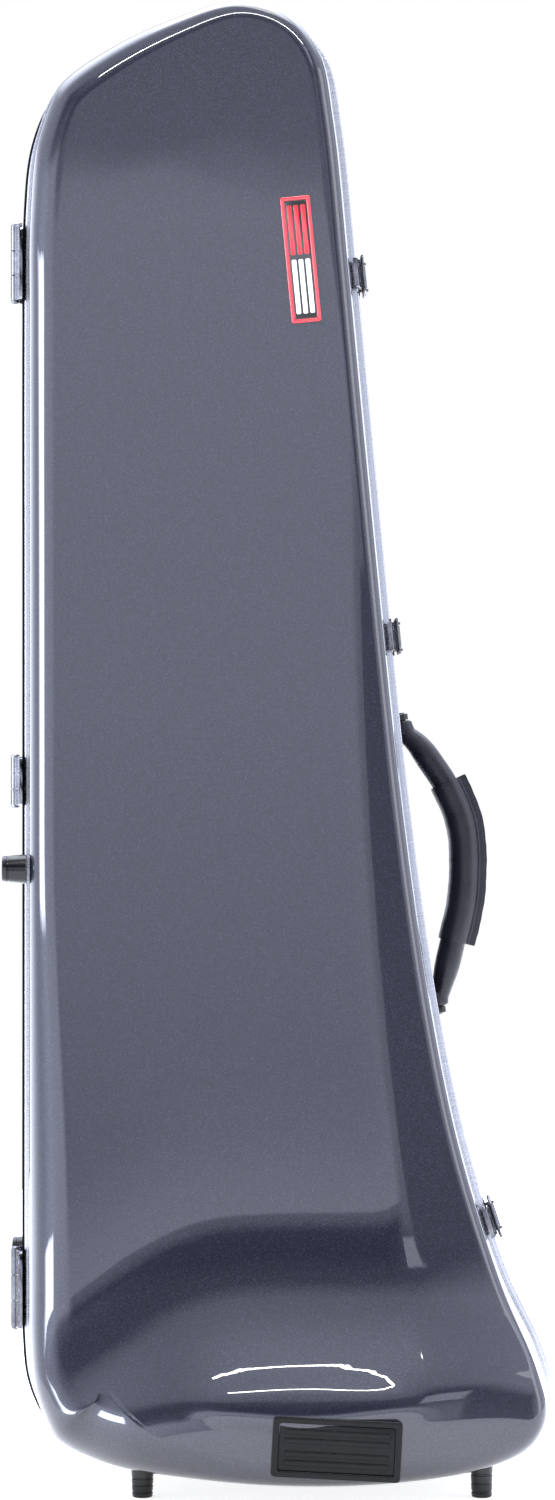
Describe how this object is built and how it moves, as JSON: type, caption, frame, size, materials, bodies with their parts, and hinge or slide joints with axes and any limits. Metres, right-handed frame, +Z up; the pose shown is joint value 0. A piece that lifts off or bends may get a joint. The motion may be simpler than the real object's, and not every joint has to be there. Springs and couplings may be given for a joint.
{
  "type": "trombone case",
  "caption": "Hard-shell tenor trombone case with a bell-shaped bulge, hinged lid, draw latches, folding handle and fitted plush lining.",
  "frame": {"origin": "middle of the bounding box in plan, at the bottom of the four bell-end feet", "axes": "+Z up along the case from the bell end to the slide end, +X towards the handle and latch side, -Y is the way the lid faces"},
  "size_m": [0.3492, 0.2602, 0.941],
  "materials": {
    "shell": "graphite metallic gel coat under a clear gloss",
    "valance": "satin extrusion",
    "plated_metal": "bright nickel plate",
    "black_metal": "semi-gloss black",
    "rubber": "moulded matt black",
    "leather": "smooth black leather, stitched",
    "plush": "short black plush over foam",
    "webbing": "woven black webbing",
    "badge_red": "domed red",
    "badge_black": "domed black, plain"
  },
  "bodies": {
    "back": {"back_shell": "shell", "back_rim": "valance", "rim_gasket": "rubber", "back_lining": "plush", "slide_strap": "webbing", "bell_strap": "webbing", "hinge_upper_back_leaf": "plated_metal", "hinge_upper_pin": "plated_metal", "hinge_middle_back_leaf": "plated_metal", "hinge_middle_pin": "plated_metal", "hinge_lower_back_leaf": "plated_metal", "hinge_lower_pin": "plated_metal", "handle_bracket_upper": "black_metal", "handle_pin_upper": "plated_metal", "handle_bracket_lower": "black_metal", "handle_pin_lower": "plated_metal", "foot_back_left": "rubber", "foot_back_right": "rubber", "side_foot_back_upper": "rubber", "side_foot_back_lower": "rubber", "latch_upper_base": "black_metal", "latch_upper_pin": "plated_metal", "latch_middle_base": "black_metal", "latch_middle_pin": "plated_metal", "latch_lower_base": "black_metal", "latch_lower_pin": "plated_metal"},
    "lid": {"lid_shell": "shell", "lid_rim": "valance", "lid_lining": "plush", "hinge_upper_lid_leaf": "plated_metal", "hinge_middle_lid_leaf": "plated_metal", "hinge_lower_lid_leaf": "plated_metal", "foot_lid_left": "rubber", "foot_lid_right": "rubber", "side_foot_lid": "rubber", "bumper_frame": "rubber", "bumper_pad": "rubber", "badge_frame": "badge_red", "badge_inlay": "badge_black", "latch_upper_keeper": "plated_metal", "latch_middle_keeper": "plated_metal", "latch_lower_keeper": "plated_metal"},
    "handle": {"handle_grip": "rubber", "handle_wrap": "leather"},
    "accessory_door": {"accessory_door": "plush", "accessory_door_tab": "webbing"},
    "latch_upper_lever": {"latch_upper_lever": "plated_metal"},
    "latch_upper_bail": {"latch_upper_bail": "plated_metal"},
    "latch_middle_lever": {"latch_middle_lever": "plated_metal"},
    "latch_middle_bail": {"latch_middle_bail": "plated_metal"},
    "latch_lower_lever": {"latch_lower_lever": "plated_metal"},
    "latch_lower_bail": {"latch_lower_bail": "plated_metal"}
  },
  "joints": [
    {"name": "lid_hinge", "type": "hinge", "parent": "back", "child": "lid", "pos_m": [-0.16918, 0.00016, 0.445], "axis": [0, 0, -1], "range_deg": [0, 105]},
    {"name": "handle_fold", "type": "hinge", "parent": "back", "child": "handle", "pos_m": [0.09211, 0.05816, 0.39071], "axis": [-0.1286, 0, 0.9917], "range_deg": [-70, 70]},
    {"name": "accessory_door_hinge", "type": "hinge", "parent": "back", "child": "accessory_door", "pos_m": [-0.04558, 0.00746, 0.76], "axis": [0, 0, -1], "range_deg": [0, 75]},
    {"name": "latch_upper_lever_hinge", "type": "hinge", "parent": "back", "child": "latch_upper_lever", "pos_m": [0.0531, 0.01316, 0.76848], "axis": [0.0967, 0, -0.9953], "range_deg": [0, 110]},
    {"name": "latch_upper_bail_hinge", "type": "hinge", "parent": "latch_upper_lever", "child": "latch_upper_bail", "pos_m": [0.0531, 0.01816, 0.76848], "axis": [0.0967, 0, -0.9953], "range_deg": [-110, 0]},
    {"name": "latch_middle_lever_hinge", "type": "hinge", "parent": "back", "child": "latch_middle_lever", "pos_m": [0.0752, 0.01316, 0.53749], "axis": [0.0979, 0, -0.9952], "range_deg": [0, 110]},
    {"name": "latch_middle_bail_hinge", "type": "hinge", "parent": "latch_middle_lever", "child": "latch_middle_bail", "pos_m": [0.0752, 0.01816, 0.53749], "axis": [0.0979, 0, -0.9952], "range_deg": [-110, 0]},
    {"name": "latch_lower_lever_hinge", "type": "hinge", "parent": "back", "child": "latch_lower_lever", "pos_m": [0.13736, 0.01316, 0.16556], "axis": [0.3125, 0, -0.9499], "range_deg": [0, 110]},
    {"name": "latch_lower_bail_hinge", "type": "hinge", "parent": "latch_lower_lever", "child": "latch_lower_bail", "pos_m": [0.13736, 0.01816, 0.16556], "axis": [0.3125, 0, -0.9499], "range_deg": [-110, 0]}
  ],
  "couplings": [
    {"joint": "latch_upper_bail_hinge", "follows": "latch_upper_lever_hinge", "ratio": -1},
    {"joint": "latch_middle_bail_hinge", "follows": "latch_middle_lever_hinge", "ratio": -1},
    {"joint": "latch_lower_bail_hinge", "follows": "latch_lower_lever_hinge", "ratio": -1}
  ]
}
